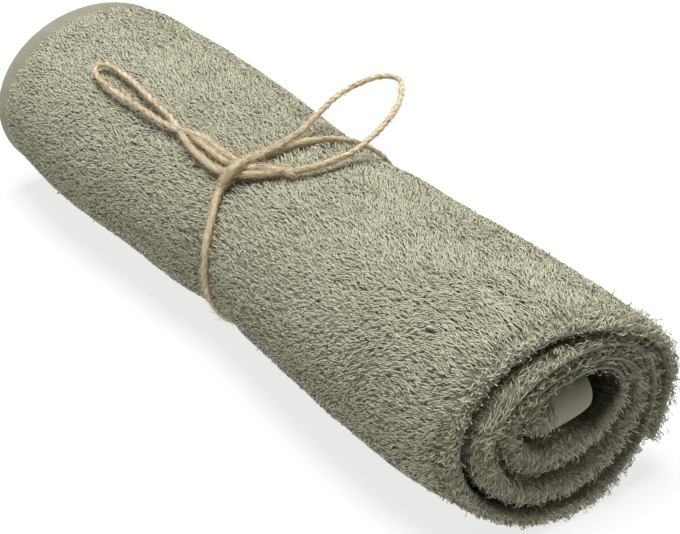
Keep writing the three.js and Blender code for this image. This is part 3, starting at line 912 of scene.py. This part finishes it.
def folded_end_pile():
    """Longer loops on the folded end, which spread outwards from the core."""
    at = scatter(folded_end_density(), seed=44)
    rng, count = at["rng"], len(at["x"])
    x, turn, layer = at["x"], at["turn"], at["layer"]
    crest = soft_step(x, NEAR_X - 15, NEAR_X - 7)
    inside = soft_step(layer, 0.55, 0.95)
    spread = (at["point"] - CORE_MIDDLE) * (0, 1, 1)
    spread = unit(spread) * (0.25 + 0.9 * crest * (1 - 0.5 * inside))[:, None] + (0.45, 0, -0.15)
    spread = unit(spread - at["normal"] * np.sum(spread * at["normal"], -1, keepdims=True))
    sway = (0.75 * smooth_noise(turn * OUTER_ROUND, layer * 9, cell=6, seed=61)
            + rng.normal(0, 0.4, count))
    outer_flank = (layer < 0.03) & (x < NEAR_X - 11)
    lean = np.where(outer_flank[:, None], lying(at, seed=51), turned(at, spread, sway))
    height = rng.uniform(1.2, 2.4, count) + crest * (1 - inside) * rng.gamma(2.0, 0.45, count)
    height = height * (1 - 0.35 * inside)
    length = rng.uniform(1.7, 3.6, count) + crest * (1 - 0.6 * inside) * rng.uniform(0, 2.0, count)
    width = 0.44 * rng.uniform(0.7, 1.2, count)
    # The outermost fold is a low edge made pale by a painted highlight, with a groove just inside it
    # darkened by painted shade.
    first = np.where(turn > SECOND_TURN, turn - 1, turn)
    groove = soft_step(first, 0.18, 0.3) * (1 - soft_step(first, 0.66, 0.82)) * (turn < 2)
    edge = groove * (turn < SECOND_TURN)
    height = height * (1 - 0.4 * edge * crest)
    length = length * (1 - 0.3 * edge * crest)
    flank = groove * ((layer < 0.03) & (x < NEAR_X - 9) & (turn > SECOND_TURN))
    # Painted shade darkens the loops of the end, more inside the rolled layers and on the crests of the
    # inner turns; the outermost edge is lighter, a painted highlight.
    shade = (0.26 + 0.35 * inside + 0.25 * crest * (turn > 0.98)
             - 0.4 * edge * crest * (1 - inside))
    # Painted shade, darkest beside the hollow, in the groove and on the flank behind it.
    deep_shade = np.maximum(hollow_shade_share(turn, layer), np.maximum(0.7 * edge * inside, 0.65 * flank))
    loops("pile_folded_end", at, lean, length, height, width, END_BEND,
          gather=0.5, shade=shade, spin=0.9, dim=0.95 * deep_shade)


def pulled_loops():
    """Loops that stand out of the pile, most of them round the folded end, and a row of small ones
    along the fold where the outermost cloth is drawn back."""
    outer_side = in_view & (cell_turn < 0.97) & (cell_layer < 0.5)
    pulled = 0.001 + 0.03 * soft_step(cell_x, NEAR_X - 45, NEAR_X - 8)
    row = 0.5 * ((cell_layer > OUTERMOST) & (cell_layer < 0.4))
    row = row * soft_step(cell_turn, 0.2, 0.28) * (1 - soft_step(cell_turn, 0.7, 0.8))
    at = scatter((pulled + row) * (1 - cell_bare) * outer_side, seed=46)
    rng, count = at["rng"], len(at["x"])
    small = (at["layer"] > OUTERMOST) & (rng.random(count) < 0.9)
    small_height = rng.uniform(1.6, 3.6, count)
    tall_height = rng.uniform(2.6, 3.6, count)
    tall_height = tall_height + soft_step(at["x"], 120, 165) * rng.uniform(0, 2.4, count)
    height = np.where(small, small_height, tall_height)
    lean = laid(at, rng.uniform(-np.pi, np.pi, count))
    length = rng.uniform(0.8, 2.2, count)
    width = 0.5 * rng.uniform(0.8, 1.3, count)
    # The shade of -0.15 makes these loops lighter than the pile, a painted highlight.
    loops("pile_pulled", at, lean, length, height, width, PULLED_BEND, shade=-0.15, spin=0.9)


def far_end_pile():
    """The far end shows a fold of terry in every turn, between two woven hems."""
    far_fold = (cell_layer > 0.68) & (cell_x < FAR_X + 12)
    at = scatter(0.8 * patchy * (1 - cell_bare) * far_fold, seed=45)
    rng, count = at["rng"], len(at["x"])
    lean = lying(at, seed=55)
    length = rng.uniform(1.4, 3.2, count)
    height = rng.uniform(1.0, 2.0, count)
    width = 0.6 * rng.uniform(0.7, 1.2, count)
    loops("pile_far_end", at, lean, length, height, width, BODY_BEND)


seen = (angle_of(cell_turn) > SEEN_FROM) & (angle_of(cell_turn) < SEEN_TO)
body_pile("pile_seen", seen, rate=1.25, wide=0.4, seed=41, parts=3)
body_pile("pile_behind", ~seen, rate=0.5, wide=0.72, seed=42, parts=1)
folded_end_pile()
pulled_loops()
far_end_pile()


# The floor and the light.
def plain_floor():
    """A plain floor that looks white and reaches out of sight."""
    material, tree, shader = material_nodes("floor_white", roughness=0.9, sheen=0,
                                            sheen_tint=WHITE)
    shader.inputs["Base Color"].default_value = (*FLOOR_COLOUR, 1)
    shader.inputs["Emission Color"].default_value = (*WHITE, 1)
    shader.inputs["Emission Strength"].default_value = FLOOR_STRENGTH
    corners = [(x * FLOOR_REACH, y * FLOOR_REACH, FLOOR_LEVEL)
               for x, y in ((-1, -1), (1, -1), (1, 1), (-1, 1))]
    made = new_object("floor", corners, [(0, 1, 2, 3)], material, smooth=False)


def area_light(name, place, target, size, power):
    """A disk of light at a place, turned to a target."""
    data = bpy.data.lights.new(name, "AREA")
    data.shape = "DISK"
    data.size = size
    data.energy = power
    made = bpy.data.objects.new(name, data)
    made.location = place
    made.rotation_euler = (Vector(target) - Vector(place)).to_track_quat("-Z", "Y").to_euler()
    bpy.context.scene.collection.objects.link(made)


plain_floor()
area_light("light_above", LIGHT_PLACE, target=(0, 0, 0), size=LIGHT_SIZE, power=LIGHT_POWER)
world = bpy.data.worlds.new("studio")
world.use_nodes = True
world.node_tree.nodes["Background"].inputs["Color"].default_value = (*WHITE, 1)
world.node_tree.nodes["Background"].inputs["Strength"].default_value = WORLD_STRENGTH
bpy.context.scene.world = world
